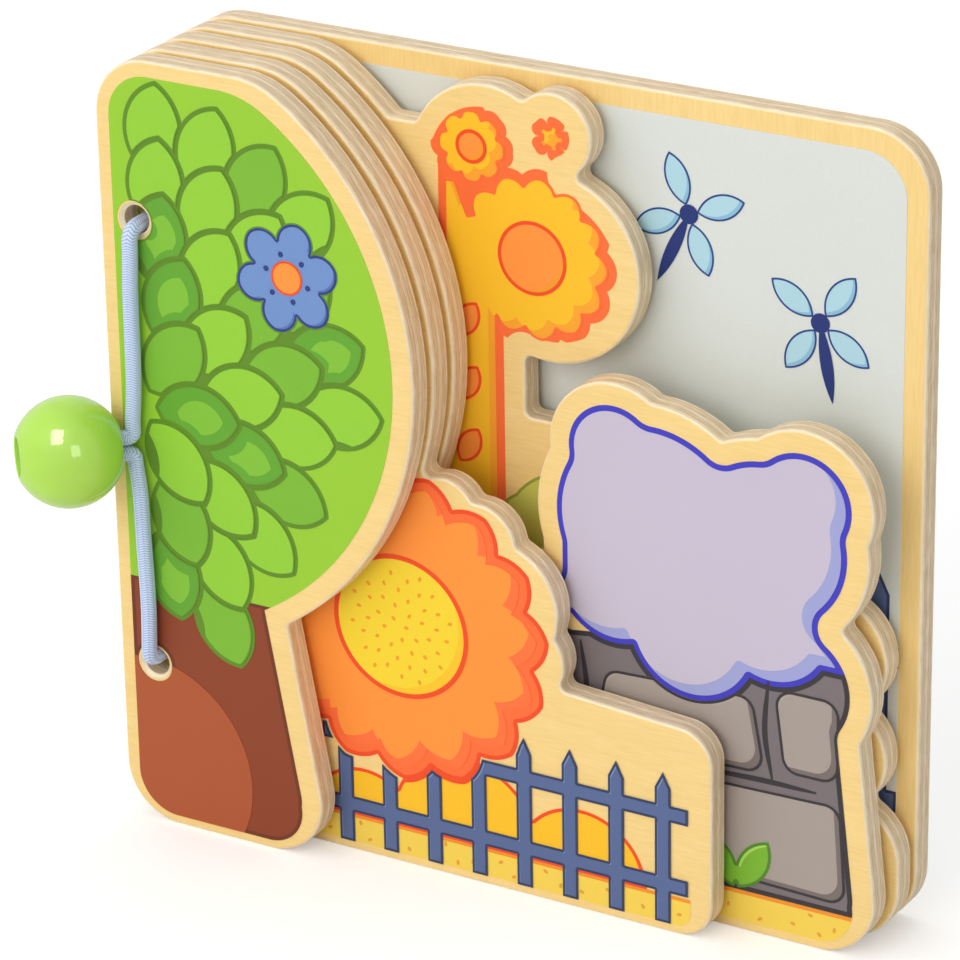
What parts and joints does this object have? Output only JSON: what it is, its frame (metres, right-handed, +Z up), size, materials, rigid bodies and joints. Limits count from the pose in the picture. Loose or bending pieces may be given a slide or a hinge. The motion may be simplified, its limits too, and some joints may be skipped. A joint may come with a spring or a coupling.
{
  "type": "wooden baby book",
  "caption": "Board book for a baby: shaped plywood pages, each wider than the last, strung on an elastic cord that ends in a round bead.",
  "frame": {"origin": "middle of the closed stack of boards, on the bottom edges that the book stands on", "axes": "+X from the spine to the open side, +Y from the front cover to the back cover, +Z up"},
  "size_m": [0.1213, 0.0427, 0.112],
  "materials": {
    "birch_ply": "clear-lacquered birch plywood, satin",
    "bead_lacquer": "turned beech under glossy lime lacquer",
    "elastic": "woven elastic cord",
    "ink_green": "satin print",
    "ink_leaf_green": "satin print",
    "ink_dark_green": "satin print",
    "ink_leaf_line": "satin print",
    "ink_brown": "satin print",
    "ink_dark_brown": "satin print",
    "ink_blue": "satin print",
    "ink_orange": "satin print",
    "ink_red_orange": "satin print",
    "ink_yellow": "satin print",
    "ink_gold": "satin print",
    "ink_sand": "satin print",
    "ink_slate": "satin print",
    "ink_grey": "satin print",
    "ink_light_grey": "satin print",
    "ink_lavender": "satin print",
    "ink_deep_blue": "satin print",
    "ink_sky": "satin print",
    "ink_light_blue": "satin print",
    "ink_navy": "satin print",
    "ink_olive": "satin print"
  },
  "bodies": {
    "back_cover": {"back_cover": "birch_ply", "back_cover_fence": "ink_slate", "back_cover_pinwheel_hubs": "ink_navy", "back_cover_pinwheels": "ink_light_blue", "back_cover_plain_back": "ink_sky", "back_cover_sand": "ink_sand", "back_cover_sky": "ink_sky"},
    "page_3": {"page_3": "birch_ply", "page_3_crown": "ink_green", "page_3_flower_eyes": "ink_orange", "page_3_foliage": "ink_olive", "page_3_meadow": "ink_olive", "page_3_patches": "ink_orange", "page_3_plain_back": "ink_sky", "page_3_plant": "ink_gold", "page_3_plant_line": "ink_red_orange"},
    "page_2": {"page_2": "birch_ply", "page_2_cloud": "ink_lavender", "page_2_cloud_line": "ink_deep_blue", "page_2_crown": "ink_green", "page_2_plain_back": "ink_sky", "page_2_rock_tops": "ink_light_grey", "page_2_rocks": "ink_grey", "page_2_sand": "ink_sand", "page_2_tuft": "ink_leaf_green"},
    "page_1": {"page_1": "birch_ply", "page_1_crown": "ink_green", "page_1_fence": "ink_slate", "page_1_flower_eye": "ink_yellow", "page_1_mounds": "ink_gold", "page_1_petal_tips": "ink_red_orange", "page_1_petals": "ink_orange", "page_1_plain_back": "ink_sky", "page_1_sand": "ink_sand"},
    "front_cover": {"elastic_cord": "elastic", "front_blossom": "ink_blue", "front_blossom_eye": "ink_orange", "front_cover": "birch_ply", "front_cover_plain_back": "ink_sky", "front_crown": "ink_green", "front_dark_leaves": "ink_dark_green", "front_leaf_lines": "ink_leaf_line", "front_leaves": "ink_leaf_green", "front_trunk": "ink_dark_brown", "front_trunk_light": "ink_brown"},
    "bead": {"bead": "bead_lacquer"}
  },
  "joints": [
    {"name": "page_3_turn", "type": "hinge", "parent": "back_cover", "child": "page_3", "pos_m": [-0.05775, 0, 0], "axis": [0, 0, -1], "range_deg": [0, 180]},
    {"name": "page_2_turn", "type": "hinge", "parent": "page_3", "child": "page_2", "pos_m": [-0.05775, 0, 0], "axis": [0, 0, -1], "range_deg": [0, 180]},
    {"name": "page_1_turn", "type": "hinge", "parent": "page_2", "child": "page_1", "pos_m": [-0.05775, 0, 0], "axis": [0, 0, -1], "range_deg": [0, 180]},
    {"name": "front_cover_turn", "type": "hinge", "parent": "page_1", "child": "front_cover", "pos_m": [-0.05775, 0, 0], "axis": [0, 0, -1], "range_deg": [0, 180], "deforming": ["elastic_cord"]},
    {"name": "bead_swing", "type": "hinge", "parent": "front_cover", "child": "bead", "pos_m": [-0.0512, -0.01384, 0.0574], "axis": [0, 0, 1], "range_deg": [0, 75]}
  ]
}
